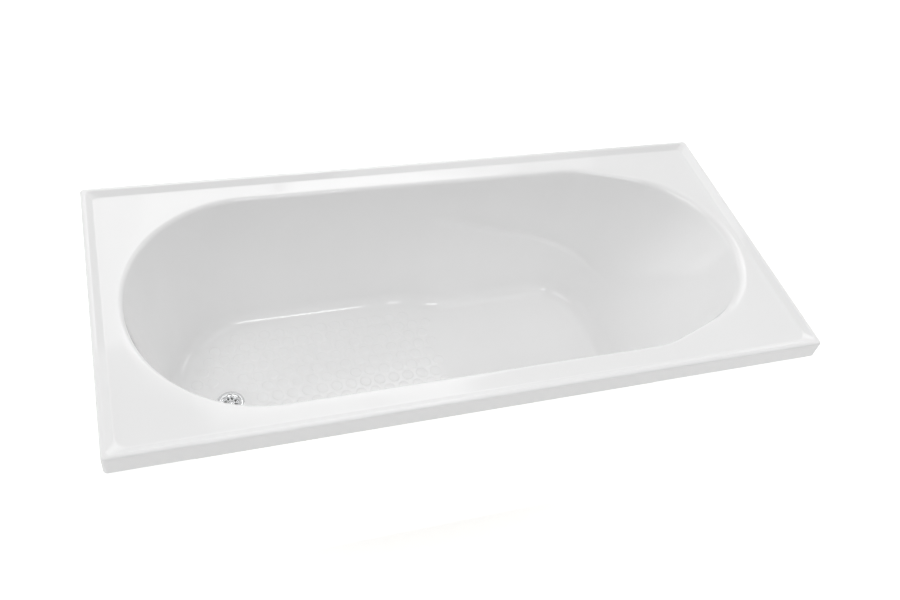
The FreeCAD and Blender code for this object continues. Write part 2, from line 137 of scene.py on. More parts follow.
def bowl():
    """(rows, N, 3): points down the inner surface, row 0 where the edge's roll leaves the deck."""
    top, low, arm, head = outlines()
    nt = inward(top)
    plain = inward(low)
    low = low + plain[:, :2] * (ARM_IN * arm)[:, None]
    nb = inward(low)
    push = ARM_IN * arm
    t = np.concatenate([top, np.full((N, 1), DECK)], 1)
    b = np.concatenate([low, floor_z(low[:, 0])[:, None]], 1)
    deep = t[:, 2] - b[:, 2]
    wall = unit(b - t)
    turn_t, turn_b = np.arccos(np.sum(nt * wall, 1)), np.arccos(np.sum(nb * wall, 1))
    r_t, r_b = R_EDGE + (R_HEAD - R_EDGE) * head, R_FLOOR + (R_FOOT - R_FLOOR) * head
    t_t, t_b = r_t * np.tan(turn_t / 2), r_b * np.tan(turn_b / 2)
    roll = arc(t - nt * t_t[:, None], nt, wall, r_t, turn_t, 12)
    fillet = arc(b - wall * t_b[:, None], wall, nb, r_b, turn_b, 14)
    w0, w1 = t[:, 2] - roll[-1][:, 2], t[:, 2] - fillet[0][:, 2]
    x_mid = t[:, 0] + (b[:, 0] - t[:, 0]) * 0.4
    line = 111 + 0.33 * (x_mid - 40)
    line = 105 + np.logaddexp(0, (line - 105) / 6) * 6
    line = np.minimum(line, 292)
    crease = np.maximum(line, w0 + 75)
    marks = [-60, -50, -41, -33, -26, -20, -15, -11, -8, -5.5, -3.6, -2.2, -1.1, 0, 1.1, 2.2, 3.4, 4.6, 5.8, 7, 8.2, 9.5, 11, 13, 16, 20, 25]
    levels = [w0 + (crease - 60 - w0) * q for q in np.linspace(0, 1, 9)[1:-1]]
    levels += [crease + m for m in marks]
    levels += [levels[-1] + (w1 - levels[-1]) * q for q in np.linspace(0, 1, 16)[1:-1]]
    straight = [t + wall * (w / -wall[:, 2])[:, None] for w in levels]
    rows = []
    for p in roll + straight + fillet:
        w = t[:, 2] - p[:, 2]
        soft = 7.0 + 95.0 * smooth(455, 640, p[:, 0])
        below = (np.hypot(w - crease, soft) + (w - crease)) / 2 / (deep - crease)
        keep = smooth(0, 60, w) * smooth(0, 50, deep - w)
        shift = push * (np.minimum(below, 1) - w / deep) * keep
        run = smooth(15, 175, p[:, 0]) * smooth(575, 430, p[:, 0]) * smooth(0, 0.35, arm)
        tall = 24 + 28 * run
        u = np.clip((w - (crease - tall)) / tall, 0, 1)
        cut = np.where(w < crease - 3, u ** 1.6, smooth(12, -3, w - crease) * ((tall - 3) / tall) ** 1.6)
        lip = smooth(4, 14, w - crease) * smooth(80, 14, w - crease)
        shift += run * (ARM_LIP * lip - ARM_CUT * cut) * keep
        rows.append(p + nb * shift[:, None])
    last = rows[-1]
    last[:, 2] = floor_z(last[:, 0])
    return np.array(rows)


# ------------------------------------------------------------------ rings of the rim
def corner_columns(first_row):
    """Which bowl column stands at each rim corner: front head, back head, back waste, front waste."""
    out = []
    for sx, sy in ((1, -1), (1, 1), (-1, 1), (-1, -1)):
        out.append(int(np.argmax(first_row[:, 0] * sx * 0.55 + first_row[:, 1] * sy)))
    return out


CORNER_STEPS = 16


def rim_ring(d, z, radii, corners):
    """N points of a rounded rectangle, d inside the rim's outer faces. radii go with corners."""
    hx, hy = LENGTH / 2 - d, WIDTH / 2 - d
    centre = [(1, -1), (1, 1), (-1, 1), (-1, -1)]
    start = [-90, 0, 90, 180]
    pts = np.full((N, 3), np.nan)
    half = CORNER_STEPS // 2
    ends = []
    for (sx, sy), a0, r, c in zip(centre, start, radii, corners):
        cx, cy = sx * (hx - r), sy * (hy - r)
        for k in range(CORNER_STEPS + 1):
            a = math.radians(a0 + 90 * k / CORNER_STEPS)
            pts[(c - half + k) % N] = (cx + r * math.cos(a), cy + r * math.sin(a), z)
        ends.append(((c - half) % N, (c + half) % N))
    for i in range(4):
        a, b = ends[i][1], ends[(i + 1) % 4][0]
        n = (b - a) % N
        pa, pb = pts[a].copy(), pts[b].copy()
        for k in range(1, n):
            pts[(a + k) % N] = pa + (pb - pa) * k / n
    return pts


def rim_profile():
    """(d, z) from inside the skirt, under its edge, up the face, over the lip and down to the deck."""
    z0 = HEIGHT - SKIRT
    p = [(3.9, z0 + 12), (3.9, z0 + 4), (3.9, z0 + 1.0)]
    for a in np.linspace(0, 90, 5)[1:]:
        p.append((2.9 + math.cos(math.radians(a)), z0 + 1 - math.sin(math.radians(a))))
    for a in np.linspace(90, 180, 5):
        p.append((1 + math.cos(math.radians(a)), z0 + 1 - math.sin(math.radians(a))))
    for z in (z0 + 3, z0 + 10, z0 + 20, z0 + 30, HEIGHT - 7):
        p.append((0.0, z))
    for a in np.linspace(180, 90, 9):
        p.append((5 + 5 * math.cos(math.radians(a)), HEIGHT - 5 + 5 * math.sin(math.radians(a))))
    p += [(7.0, HEIGHT), (9.0, HEIGHT)]
    slope = math.atan2(9.0, 15.0)
    rc, rb = 6.0, 9.0                       # over the lip, and at its foot
    x1, x2 = 11.0, 28.0
    tc, tb = rc * math.tan(slope / 2), rb * math.tan(slope / 2)
    for a in np.linspace(0, slope, 5)[0 if x1 - tc > 9.05 else 1:]:
        p.append((x1 - tc + rc * math.sin(a), HEIGHT - rc * (1 - math.cos(a))))
    foot_x = x1 + 9.0 / math.tan(slope)
    for a in np.linspace(slope, 0, 7):
        p.append((foot_x + tb - rb * math.sin(a), DECK + rb * (1 - math.cos(a))))
    p.append((foot_x + tb + 1.5, DECK))
    return p


def corner_radii(d):
    """Front head, back head, back waste, front waste."""
    inner = float(smooth(6, 26, d))
    back, front = 8.0 + 8.0 * inner, 8.0 + 20.0 * inner
    outer = max(9.5 - d * 0.7, 2.5) if d < 6 else 5.5
    blend = float(smooth(5, 12, d))
    return [outer + (r - outer) * blend for r in (front, back, back, front)]


# ------------------------------------------------------------------ meshes
def mesh_object(name, verts, faces, smooth_shade=True):
    me = bpy.data.meshes.new(name)
    v = np.asarray(verts, float) / 1000.0
    me.from_pydata([tuple(p) for p in v], [], faces)
    me.validate()
    if smooth_shade:
        me.polygons.foreach_set("use_smooth", [True] * len(me.polygons))
    me.update()
    ob = bpy.data.objects.new(name, me)
    bpy.context.scene.collection.objects.link(ob)
    return ob


class Builder:
    def __init__(self):
        self.v, self.f, self.n = [], [], 0

    def add(self, pts):
        pts = np.asarray(pts, float).reshape(-1, 3)
        first = self.n
        self.v.append(pts)
        self.n += len(pts)
        return np.arange(first, self.n)

    def strip(self, a, b, flip=False):
        """Quads between two closed rings of indices."""
        a2, b2 = np.roll(a, -1), np.roll(b, -1)
        for i in range(len(a)):
            q = (int(a[i]), int(a2[i]), int(b2[i]), int(b[i]))
            self.f.append(q[::-1] if flip else q)

    def object(self, name, smooth_shade=True):
        return mesh_object(name, np.concatenate(self.v), self.f, smooth_shade)


def in_polygon(p, poly):
    x, y = p[:, 0][:, None], p[:, 1][:, None]
    x0, y0 = poly[:, 0][None], poly[:, 1][None]
    x1, y1 = np.roll(poly[:, 0], -1)[None], np.roll(poly[:, 1], -1)[None]
    hit = ((y0 > y) != (y1 > y)) & (x < (x1 - x0) * (y - y0) / (y1 - y0 + 1e-30) + x0)
    return hit.sum(1) % 2 == 1


def fill_plane(builder, loops):
    """Triangles between an outer loop and the loops inside it, all indices of points the builder already has."""
    allv = np.concatenate(builder.v)
    ids = np.concatenate(loops)
    pts = allv[ids][:, :2]
    edges, k = [], 0
    for loop in loops:
        m = len(loop)
        edges += [(k + i, k + (i + 1) % m) for i in range(m)]
        k += m
    made, _, tris, origin, _, _ = delaunay_2d_cdt([Vector(p) for p in pts], edges, [], 0, 1e-6, True)
    back = {}
    for j, o in enumerate(origin):
        back[j] = int(ids[o[0]]) if len(o) else None
    mids = np.array([(sum((made[i] for i in t), Vector((0, 0)))) / 3 for t in tris])
    ok = in_polygon(mids, allv[loops[0]][:, :2])
    for hole in loops[1:]:
        c = allv[hole][:, :2].mean(0)
        r = np.linalg.norm(allv[hole][:, :2] - c, axis=1).min()
        ok &= np.linalg.norm(mids - c, axis=1) > r * 0.97
    for t, keep in zip(tris, ok):
        if keep:
            q = [back[i] for i in t]
            if None in q:
                continue
            a, b, c = (made[i] for i in t)
            if (b - a).cross(c - a) < 0:
                q = q[::-1]
            builder.f.append(tuple(q))


def circle(r, z, m, cx=0.0, cy=0.0, phase=0.0):
    a = np.arange(m) / m * 2 * math.pi + phase
    return np.stack([cx + r * np.cos(a), cy + r * np.sin(a), z + 0 * a], 1)


def lathe(name, profile, m=96, cx=0.0, cy=0.0, close=False):
    """A turned piece from (r, z) points, outside going up keeps its faces outward."""
    b = Builder()
    rings = []
    for r, z in profile:
        if r < 1e-6:
            rings.append(b.add([(cx, cy, z)]))
        else:
            rings.append(b.add(circle(r, z, m, cx, cy)))
    pairs = list(zip(rings[:-1], rings[1:]))
    if close:
        pairs.append((rings[-1], rings[0]))
    for p, q in pairs:
        if len(p) == 1 and len(q) == 1:
            continue
        if len(p) == 1:
            for i in range(m):
                b.f.append((int(p[0]), int(q[(i + 1) % m]), int(q[i])))
        elif len(q) == 1:
            for i in range(m):
                b.f.append((int(p[i]), int(p[(i + 1) % m]), int(q[0])))
        else:
            b.strip(p, q)
    return b.object(name)


rows = bowl()
corners = corner_columns(rows[0])

# grip dots: a triangular lattice on the waste half of the floor
PITCH_X, PITCH_Y = 39.0, 39.0 * math.sqrt(3) / 2
DOT_R, DOT_TOP, DOT_H = 15.2, 12.9, 1.1
floor_ring = rows[-1][:, :2]
floor_seg = np.roll(floor_ring, -1, 0) - floor_ring
dots = []
for k in range(-6, 7):
    x0 = -454.5 if k % 2 == 0 else -474.0
    for j in range(-4, 14):
        x, y = x0 + PITCH_X * j, PITCH_Y * k
        if x > 36 or math.hypot(x - WASTE_X, y) < 68.5:
            continue
        if not in_polygon(np.array([[x, y]]), floor_ring)[0]:
            continue
        if np.linalg.norm(floor_ring - (x, y), axis=1).min() < DOT_R + 1.5:
            continue
        dots.append((x, y))

# ------------------------------------------------------------------ the acrylic shell
shell = Builder()
ring_before = None
for d, z in rim_profile():
    ring = shell.add(rim_ring(d, z, corner_radii(d), corners))
    if ring_before is not None:
        shell.strip(ring_before, ring)
    ring_before = ring
foot = rim_ring(rim_profile()[-1][0], DECK, corner_radii(rim_profile()[-1][0]), corners)
for q in (0.25, 0.5, 0.75):
    ring = shell.add(foot + (rows[0] - foot) * q)
    shell.strip(ring_before, ring)
    ring_before = ring
for row in rows:
    ring = shell.add(row)
    shell.strip(ring_before, ring)
    ring_before = ring
loops = [ring_before]
dish = [(54.0, 0.0), (52.6, -0.12), (51.2, -0.5), (49.6, -1.05), (43.5, -3.2), (42.0, -3.65), (40.4, -3.92), (38.6, -4.0), (33.0, -4.0), (27.6, -4.0), (27.0, -4.5), (27.0, -9.0)]
before = None
for r, dz in dish:
    pts = circle(r, 0, 96, WASTE_X)
    level = floor_z(pts[:, 0]) if r > 41 else np.full(96, FLOOR_Z)
    pts[:, 2] = level * (r > 41) + FLOOR_Z * (r <= 41) + dz
    ring = shell.add(pts)
    if before is None:
        loops.append(ring)
    else:
        shell.strip(before, ring)
    before = ring
for x, y in dots:
    before = None
    for q in (0, 0.15, 0.32, 0.5, 0.68, 0.85, 1.0):
        r = DOT_R + (DOT_TOP - DOT_R) * q
        pts = circle(r, 0, 28, x, y)
        pts[:, 2] = floor_z(pts[:, 0]) + DOT_H * float(smooth(0, 1, q))
        ring = shell.add(pts)
        if before is None:
            loops.append(ring)
        else:
            shell.strip(before, ring)
        before = ring
    c = shell.add([(x, y, float(floor_z(x)) + DOT_H + 0.04)])[0]
    for i in range(28):
        shell.f.append((int(before[i]), int(before[(i + 1) % 28]), int(c)))
fill_plane(shell, loops)
bath = shell.object("bath_shell_moulding")

# ------------------------------------------------------------------ glassfibre on the underside
def outward(rows):
    along = np.roll(rows, -1, 1) - np.roll(rows, 1, 1)
    down = np.empty_like(rows)
    down[1:-1] = rows[2:] - rows[:-2]
    down[0], down[-1] = rows[1] - rows[0], rows[-1] - rows[-2]
    n = unit(np.cross(down, along))
    n[0] = n[-1] = (0, 0, -1)
    return n


def rough(p, n, amount):
    """Uneven sprayed layer: each point moved along its normal."""
    out = np.array(p, float)
    for i, (q, m) in enumerate(zip(out, n)):
        v = Vector(q / 1000.0)
        h = noise.noise(v * 14) * 0.9 + noise.noise(v * 45) * 0.55 + noise.noise(v * 120) * 0.35
        out[i] = q + m * (amount * h)
    return out


pick = [0, 3, 6, 9, 12] + list(range(13, len(rows) - 15, 2)) + list(range(len(rows) - 15, len(rows), 2))
if pick[-1] != len(rows) - 1:
    pick.append(len(rows) - 1)
normals = outward(rows)
gf = Builder()
before = None
skirt_in = [(3.95, 495.2), (5.2, 495.0), (6.8, 495.6), (7.0, 500.0), (7.0, 508.0), (7.0, 516.0), (7.6, 521.0), (10.0, 523.6), (16.0, 524.0)]
for k, (d, z) in enumerate(skirt_in):
    pts = rim_ring(d, z, [max(9 - d, 2.5)] * 4, corners)
    if k > 1:
        mid = np.zeros((N, 3))
        n = np.zeros((N, 3))
        n[:, 2] = -1 if k > 5 else 0
        if k <= 5:
            n[:, :2] = -unit(pts[:, :2] * np.array([1 / 825.0 ** 2, 1 / 380.0 ** 2]))
        pts = rough(pts, n, 0.55)
    ring = gf.add(pts)
    if before is not None:
        gf.strip(ring, before)
    before = ring
edge = rows[0] + normals[0] * 7.0
inner = rim_ring(16.0, 524.0, [4.0] * 4, corners)
for q in np.linspace(0, 1, 9)[1:-1]:
    pts = inner + (edge - inner) * q
    ring = gf.add(rough(pts, np.tile((0, 0, -1), (N, 1)), 0.6))
    gf.strip(ring, before)
    before = ring
for k in pick:
    pts = rough(rows[k] + normals[k] * 7.0, normals[k], 0.7)
    ring = gf.add(pts)
    gf.strip(ring, before)
    before = ring
BOSS_R, BOSS_Z = 60.0, 109.0
under = rows[-1] + normals[-1] * 7.0
for q in (0.12, 0.24, 0.36):
    pts = under + ((0, 0, 0) - under) * np.array([q, q, 0])
    pts[:, 0] = under[:, 0] + (-90 - under[:, 0]) * q
    pts[:, 2] = floor_z(pts[:, 0]) - 7.0
    near = np.hypot(pts[:, 0] - WASTE_X, pts[:, 1])
    if near.min() < BOSS_R + 6:
        break
    ring = gf.add(rough(pts, np.tile((0, 0, -1), (N, 1)), 0.6))
    gf.strip(ring, before)
    before = ring
boss = []
for r, z in ((BOSS_R + 3, None), (BOSS_R, BOSS_Z + 1.5), (BOSS_R - 2, BOSS_Z), (40.0, BOSS_Z), (27.5, BOSS_Z), (27.5, BOSS_Z + 6)):
    pts = circle(r, 0, 72, WASTE_X)
    pts[:, 2] = floor_z(pts[:, 0]) - 7.0 if z is None else z
    boss.append(gf.add(pts))
for p, q in zip(boss[:-1], boss[1:]):
    gf.strip(q, p)
start = len(gf.f)
fill_plane(gf, [before, boss[0]])
gf.f[start:] = [t[::-1] for t in gf.f[start:]]
# the pad that bonds the base board in, a swelling round the board's edge
BOARD = (-465.0, 445.0, 185.0)
pad_cx, pad_hx = (BOARD[0] + BOARD[1]) / 2, (BOARD[1] - BOARD[0]) / 2


def round_rect(hx, hy, r, z, cx, m=14, per_side=40):
    out = []
    for sx, sy, a0 in ((1, -1, -90), (1, 1, 0), (-1, 1, 90), (-1, -1, 180)):
        for k in range(m + 1):
            a = math.radians(a0 + 90 * k / m)
            out.append((cx + sx * (hx - r) + r * math.cos(a), sy * (hy - r) + r * math.sin(a), z))
    pts = []
    for i, p in enumerate(out):
        q = out[(i + 1) % len(out)]
        steps = per_side if math.dist(p, q) > 100 else 1
        for k in range(steps):
            pts.append(tuple(np.array(p) + (np.array(q) - np.array(p)) * k / steps))
    return np.array(pts)


before = None
for grow, z in ((14, 121.0), (12, 115.5), (10, 113.2), (6, 112.0), (1.5, 111.4), (0.2, 108.0), (0.15, 105.5)):
    pts = round_rect(pad_hx + grow, BOARD[2] + grow, 25 + grow * 0.6, z, pad_cx)
    if z == 121.0:
        pts[:, 2] = floor_z(pts[:, 0]) - 6.0
    n = unit(np.stack([pts[:, 0] * 0, pts[:, 1] * 0, pts[:, 2] * 0 - 1], 1))
    ring = gf.add(rough(pts, n, 0.5 if 112 < z < 121 else 0.1))
    if before is not None:
        gf.strip(ring, before)
    before = ring
backing = gf.object("glassfibre_layer")

# ------------------------------------------------------------------ threaded rods
def rod(name, x, y):
    b = Builder()
    m, step = 20, 1.75 / 7
    z0, z1 = 8.6, 117.8

    def thread(z):
        a = np.arange(m) / m * 2 * math.pi
        ph = (z / 1.75 - a / (2 * math.pi)) % 1.0
        h = np.clip(1.25 - np.abs(ph - 0.5) * 2.9, 0, 1)
        r = 5.06 + 0.86 * h
        end = min(1.0, (z - z0) / 1.6, (z1 - z) / 1.6)
        r = np.minimum(r, 4.75 + 1.18 * max(end, 0.0))
        return np.stack([x + r * np.cos(a), y + r * np.sin(a), z + 0 * a], 1)

    before = None
    tip = b.add([(x, y, z0)])[0]
    for z in np.arange(z0, z1 + 1e-6, step):
        ring = b.add(thread(z))
        if before is None:
            for i in range(m):
                b.f.append((int(tip), int(ring[(i + 1) % m]), int(ring[i])))
        else:
            b.strip(before, ring)
        before = ring
    end = b.add([(x, y, z1)])[0]
    for i in range(m):
        b.f.append((int(before[i]), int(before[(i + 1) % m]), int(end)))
    # hexagon collar: flats with corners turned off top and bottom
    flat = 8.5
    m6 = 72
    a = np.arange(m6) / m6 * 2 * math.pi
    hexr = flat / np.cos((a + math.pi / 6) % (math.pi / 3) - math.pi / 6)
    hexr = np.minimum(hexr, flat / math.cos(math.pi / 6) - 0.12)
    before = None
    for z, cap in ((30.0, 5.5), (30.0, 8.3), (30.25, 8.75), (30.9, 9.9), (37.1, 9.9), (37.75, 8.75), (38.0, 8.3), (38.0, 5.5)):
        r = np.minimum(hexr, cap)
        ring = b.add(np.stack([x + r * np.cos(a), y + r * np.sin(a), z + 0 * a], 1))
        if before is not None:
            b.strip(before, ring)
        before = ring
    ob = b.object(name)
    return ob


corner_xy = {
    "waste_front": (-380.0, -300.0), "waste_back": (-380.0, 300.0),
    "head_front": (360.0, -300.0), "head_back": (360.0, 300.0),
}
rods = {}
for c, (x, y) in corner_xy.items():
    rods[c] = rod("threaded_rod_" + c, x, y)

# ------------------------------------------------------------------ waste
D = FLOOR_Z - 4.0
flange_profile = [
    (24.4, D - 9.9), (24.4, D + 1.2), (33.9, D + 1.2), (34.6, D + 1.32), (35.0, D + 1.75), (34.7, D + 2.35), (33.8, D + 3.0),
    (32.0, D + 3.75), (30.0, D + 4.2), (28.0, D + 4.38), (26.0, D + 4.3), (24.0, D + 3.85), (22.6, D + 3.2), (21.4, D + 2.3),
    (20.8, D + 1.5), (20.5, D + 0.6), (20.5, D - 9.9),
]
flange = lathe("waste_flange_ring", flange_profile, 128, WASTE_X, 0, close=True)
GRATE = D + 0.2


def grate():
    """Strainer: a slightly domed plate with long holes in a ring, and a round hole at its centre."""
    b = Builder()
    outer = circle(20.6, 0, 96, WASTE_X)
    outer_i = b.add(outer)
    loops = [outer_i]
    holes = []
    for i in range(8):
        a = math.radians(45 * i + 22.5)
        pts = []
        hl, hw = 3.9, 2.3
        for k in range(10):
            t = math.radians(-90 + 180 * k / 9)
            pts.append((13.4 + (hl - hw) + hw * math.cos(t), hw * math.sin(t)))
        for k in range(10):
            t = math.radians(90 + 180 * k / 9)
            pts.append((13.4 - (hl - hw) + hw * math.cos(t), hw * math.sin(t)))
        pts = np.array(pts)
        rot = np.array([[math.cos(a), -math.sin(a)], [math.sin(a), math.cos(a)]])
        pts = pts @ rot.T
        holes.append(np.column_stack([pts[:, 0] + WASTE_X, pts[:, 1], np.zeros(len(pts))]))
    centre = circle(6.0, 0, 48, WASTE_X)
    loops_pts = holes + [centre]
    for h in loops_pts:
        loops.append(b.add(h))
    count = len(b.f)
    fill_grate(b, loops)
    v = np.concatenate(b.v)
    r = np.hypot(v[:, 0] - WASTE_X, v[:, 1])
    v[:, 2] = GRATE - 0.9 * smooth(8, 20, r)
    b.v = [v]
    b.n = len(v)
    for loop in loops[1:]:
        low = v[loop].copy()
        low[:, 2] -= 2.2
        ring = b.add(low)
        b.strip(ring, loop)
    return b.object("waste_grate")


def fill_grate(builder, loops):
    allv = np.concatenate(builder.v)
    ids = np.concatenate(loops)
    pts = allv[ids][:, :2]
    edges, k = [], 0
    for loop in loops:
        m = len(loop)
        edges += [(k + i, k + (i + 1) % m) for i in range(m)]
        k += m
    made, _, tris, origin, _, _ = delaunay_2d_cdt([Vector(p) for p in pts], edges, [], 0, 1e-6, True)
    back = {j: (int(ids[o[0]]) if len(o) else None) for j, o in enumerate(origin)}
    mids = np.array([(sum((made[i] for i in t), Vector((0, 0)))) / 3 for t in tris])
    ok = in_polygon(mids, allv[loops[0]][:, :2])
    for hole in loops[1:]:
        ok &= ~in_polygon(mids, allv[hole][:, :2])
    for t, keep in zip(tris, ok):
        q = [back[i] for i in t]
        if keep and None not in q:
            a, b_, c = (made[i] for i in t)
            builder.f.append(tuple(q if (b_ - a).cross(c - a) > 0 else q[::-1]))


grate_ob = grate()
screw_profile = [(0, 80.2), (2.3, 80.2), (2.9, 80.9), (2.9, GRATE - 2.0), (5.6, GRATE - 0.1), (5.75, GRATE + 0.25), (5.4, GRATE + 0.75), (4.4, GRATE + 1.1), (3.0, GRATE + 1.3), (0, GRATE + 1.4)]
screw = lathe("waste_centre_screw", screw_profile, 64, WASTE_X)

# ------------------------------------------------------------------ materials
def material(name):
    m = bpy.data.materials.new(name)
    m.use_nodes = True
    nt = m.node_tree
    nt.nodes.clear()
    out = nt.nodes.new("ShaderNodeOutputMaterial")
    bsdf = nt.nodes.new("ShaderNodeBsdfPrincipled")
    nt.links.new(bsdf.outputs["BSDF"], out.inputs["Surface"])
    return m, nt, bsdf


def node(nt, kind, **values):
    n = nt.nodes.new(kind)
    for k, v in values.items():
        if k in n.inputs:
            n.inputs[k].default_value = v
        else:
            setattr(n, k, v)
    return n


def coords(nt, scale=(1, 1, 1), rotation=(0, 0, 0)):
    c = nt.nodes.new("ShaderNodeTexCoord")
    m = nt.nodes.new("ShaderNodeMapping")
    m.inputs["Scale"].default_value = scale
    m.inputs["Rotation"].default_value = rotation
    nt.links.new(c.outputs["Object"], m.inputs["Vector"])
    return m.outputs["Vector"]


def ramp(nt, source, stops):
    r = nt.nodes.new("ShaderNodeValToRGB")
    nt.links.new(source, r.inputs["Fac"])
    e = r.color_ramp.elements
    while len(e) < len(stops):
        e.new(0.5)
    for el, (pos, col) in zip(e, stops):
        el.position = pos
        el.color = (*col, 1) if len(col) == 3 else (col[0], col[0], col[0], 1)
    return r.outputs["Color"]


def acrylic_material():
    m, nt, b = material("acrylic_white")
    v = coords(nt)
    cloud = node(nt, "ShaderNodeTexNoise", Scale=3.0, Detail=3.0, Roughness=0.5)
    fine = node(nt, "ShaderNodeTexNoise", Scale=160.0, Detail=4.0, Roughness=0.6)
    peel = node(nt, "ShaderNodeTexNoise", Scale=38.0, Detail=1.0, Roughness=0.4)
    for n in (cloud, fine, peel):
        nt.links.new(v, n.inputs["Vector"])
    tint = ramp(nt, cloud.outputs["Fac"], [(0.35, (0.926, 0.926, 0.926)), (0.65, (0.936, 0.936, 0.936))])
    nt.links.new(tint, b.inputs["Base Color"])
    sheen = node(nt, "ShaderNodeMapRange")
    sheen.inputs["From Min"].default_value, sheen.inputs["From Max"].default_value = 0.3, 0.7
    sheen.inputs["To Min"].default_value, sheen.inputs["To Max"].default_value = 0.030, 0.060
    nt.links.new(fine.outputs["Fac"], sheen.inputs["Value"])
    nt.links.new(sheen.outputs["Result"], b.inputs["Roughness"])
    bump = node(nt, "ShaderNodeBump", Strength=0.03, Distance=0.0003)
    nt.links.new(peel.outputs["Fac"], bump.inputs["Height"])
    nt.links.new(bump.outputs["Normal"], b.inputs["Normal"])
    b.inputs["IOR"].default_value = 1.49
    b.inputs["Specular IOR Level"].default_value = 0.5
    return m


def glassfibre_material():
    m, nt, b = material("glassfibre_resin")
    v = coords(nt)
    warp = node(nt, "ShaderNodeTexNoise", Scale=9.0, Detail=2.0, Roughness=0.5)
    nt.links.new(v, warp.inputs["Vector"])
    strands = []
    for k, (rot, sc) in enumerate((((0.3, 0.2, 0.4), (30, 420, 420)), ((0.9, 0.5, 1.5), (26, 380, 380)), ((1.7, 1.1, 2.6), (34, 450, 450)), ((0.2, 2.2, 0.9), (28, 400, 400)))):
        w = coords(nt, scale=sc, rotation=rot)
        n = node(nt, "ShaderNodeTexNoise", Scale=1.0, Detail=1.5, Roughness=0.5)
        add = node(nt, "ShaderNodeVectorMath", operation="MULTIPLY_ADD")
        add.inputs[1].default_value = (3.0, 3.0, 3.0)
        nt.links.new(warp.outputs["Color"], add.inputs[0])
        nt.links.new(w, add.inputs[2])
        nt.links.new(add.outputs["Vector"], n.inputs["Vector"])
        r = ramp(nt, n.outputs["Fac"], [(0.52, (0.0,)), (0.60, (1.0,))])
        strands.append(r)
    total = strands[0]
    for s in strands[1:]:
        mx = node(nt, "ShaderNodeMix", data_type="RGBA", blend_type="LIGHTEN")
        mx.inputs["Factor"].default_value = 1.0
        nt.links.new(total, mx.inputs["A"])
        nt.links.new(s, mx.inputs["B"])
        total = mx.outputs["Result"]
    blotch = node(nt, "ShaderNodeTexNoise", Scale=6.0, Detail=4.0, Roughness=0.6)
    nt.links.new(v, blotch.inputs["Vector"])
    base = ramp(nt, blotch.outputs["Fac"], [(0.32, (0.60, 0.585, 0.50)), (0.55, (0.69, 0.68, 0.60)), (0.72, (0.74, 0.735, 0.67))])
    mix = node(nt, "ShaderNodeMix", data_type="RGBA")
    mix.inputs["B"].default_value = (0.80, 0.80, 0.76, 1)
    scale = node(nt, "ShaderNodeMath", operation="MULTIPLY")
    scale.inputs[1].default_value = 0.5
    nt.links.new(total, scale.inputs[0])
    nt.links.new(scale.outputs["Value"], mix.inputs["Factor"])
    nt.links.new(base, mix.inputs["A"])
    nt.links.new(mix.outputs["Result"], b.inputs["Base Color"])
    rr = node(nt, "ShaderNodeMapRange")
    rr.inputs["To Min"].default_value, rr.inputs["To Max"].default_value = 0.30, 0.62
    nt.links.new(blotch.outputs["Fac"], rr.inputs["Value"])
    nt.links.new(rr.outputs["Result"], b.inputs["Roughness"])
    lump = node(nt, "ShaderNodeTexNoise", Scale=70.0, Detail=3.0, Roughness=0.6)
    nt.links.new(v, lump.inputs["Vector"])
    height = node(nt, "ShaderNodeMath", operation="MULTIPLY_ADD")
    height.inputs[1].default_value = 0.7
    nt.links.new(lump.outputs["Fac"], height.inputs[0])
    nt.links.new(total, height.inputs[2])
    bump = node(nt, "ShaderNodeBump", Strength=0.7, Distance=0.0011)
    nt.links.new(height.outputs["Value"], bump.inputs["Height"])
    nt.links.new(bump.outputs["Normal"], b.inputs["Normal"])
    return m


def zinc_material():
    m, nt, b = material("zinc_plate")
    v = coords(nt)
    n1 = node(nt, "ShaderNodeTexNoise", Scale=60.0, Detail=4.0, Roughness=0.6)
    n2 = node(nt, "ShaderNodeTexVoronoi", Scale=900.0)
    n3 = node(nt, "ShaderNodeTexNoise", Scale=8.0, Detail=2.0, Roughness=0.5)
    for n in (n1, n2, n3):
        nt.links.new(v, n.inputs["Vector"])
    col = ramp(nt, n3.outputs["Fac"], [(0.3, (0.62, 0.64, 0.67)), (0.6, (0.72, 0.73, 0.74)), (0.75, (0.74, 0.74, 0.70))])
    nt.links.new(col, b.inputs["Base Color"])
    b.inputs["Metallic"].default_value = 1.0
    r = node(nt, "ShaderNodeMapRange")
    r.inputs["To Min"].default_value, r.inputs["To Max"].default_value = 0.24, 0.46
    nt.links.new(n1.outputs["Fac"], r.inputs["Value"])
    nt.links.new(r.outputs["Result"], b.inputs["Roughness"])
    bump = node(nt, "ShaderNodeBump", Strength=0.10, Distance=0.0002)
    nt.links.new(n2.outputs["Distance"], bump.inputs["Height"])
    nt.links.new(bump.outputs["Normal"], b.inputs["Normal"])
    return m


def chrome_material():
    m, nt, b = material("chrome_plate")
    v = coords(nt)
    n1 = node(nt, "ShaderNodeTexNoise", Scale=220.0, Detail=3.0, Roughness=0.6)
    nt.links.new(v, n1.inputs["Vector"])
    col = ramp(nt, n1.outputs["Fac"], [(0.35, (0.84, 0.85, 0.86)), (0.65, (0.88, 0.885, 0.89))])
    nt.links.new(col, b.inputs["Base Color"])
    b.inputs["Metallic"].default_value = 1.0
    r = node(nt, "ShaderNodeMapRange")
    r.inputs["To Min"].default_value, r.inputs["To Max"].default_value = 0.16, 0.26
    nt.links.new(n1.outputs["Fac"], r.inputs["Value"])
    nt.links.new(r.outputs["Result"], b.inputs["Roughness"])
    return m


